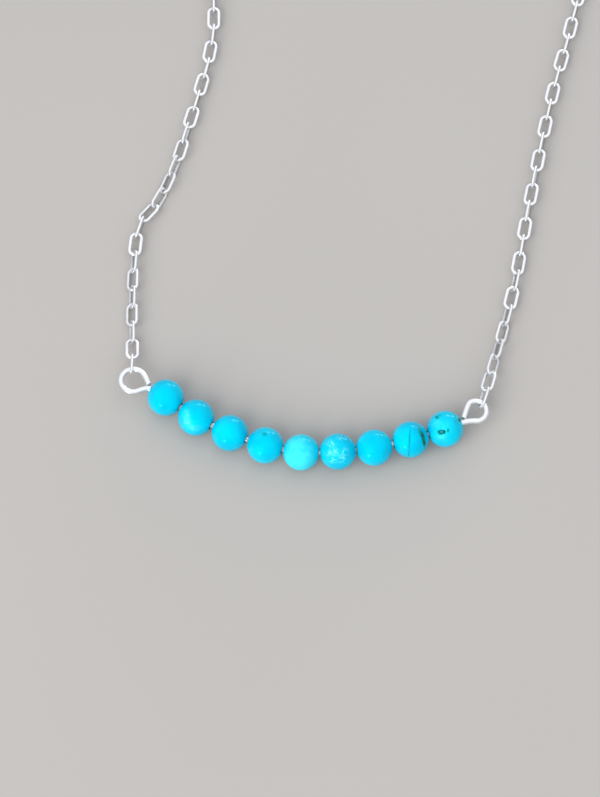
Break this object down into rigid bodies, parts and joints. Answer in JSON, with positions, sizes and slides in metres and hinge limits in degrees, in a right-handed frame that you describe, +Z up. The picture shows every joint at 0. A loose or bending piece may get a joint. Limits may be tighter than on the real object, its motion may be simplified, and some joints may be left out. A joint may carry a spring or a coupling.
{
  "type": "beaded bar necklace",
  "caption": "Necklace with a bowed bar of round beads threaded on a wire with turned end loops, on a cable chain closed by a clasp, lying flat.",
  "frame": {"origin": "centre of the necklace's footprint, on the surface that it lies on", "axes": "+X to the wearer's left along the bar, +Y from the bar towards the clasp, +Z up off the surface"},
  "size_m": [0.0774, 0.1698, 0.004],
  "materials": {
    "round_wire": "sterling silver wire, drawn and lightly polished",
    "chain_silver": "sterling silver chain, flattened wire links, polished",
    "clasp_silver": "sterling silver, cast and polished",
    "turquoise": "polished turquoise, sky blue with a little dark matrix"
  },
  "bodies": {
    "root": {"bar_wire": "round_wire", "bead_1": "turquoise", "bead_2": "turquoise", "bead_3": "turquoise", "bead_4": "turquoise", "bead_5": "turquoise", "bead_6": "turquoise", "bead_7": "turquoise", "bead_8": "turquoise", "bead_9": "turquoise", "left_chain": "chain_silver", "left_chain_back": "chain_silver", "right_chain": "chain_silver", "right_chain_back": "chain_silver", "clasp": "clasp_silver"}
  },
  "joints": []
}
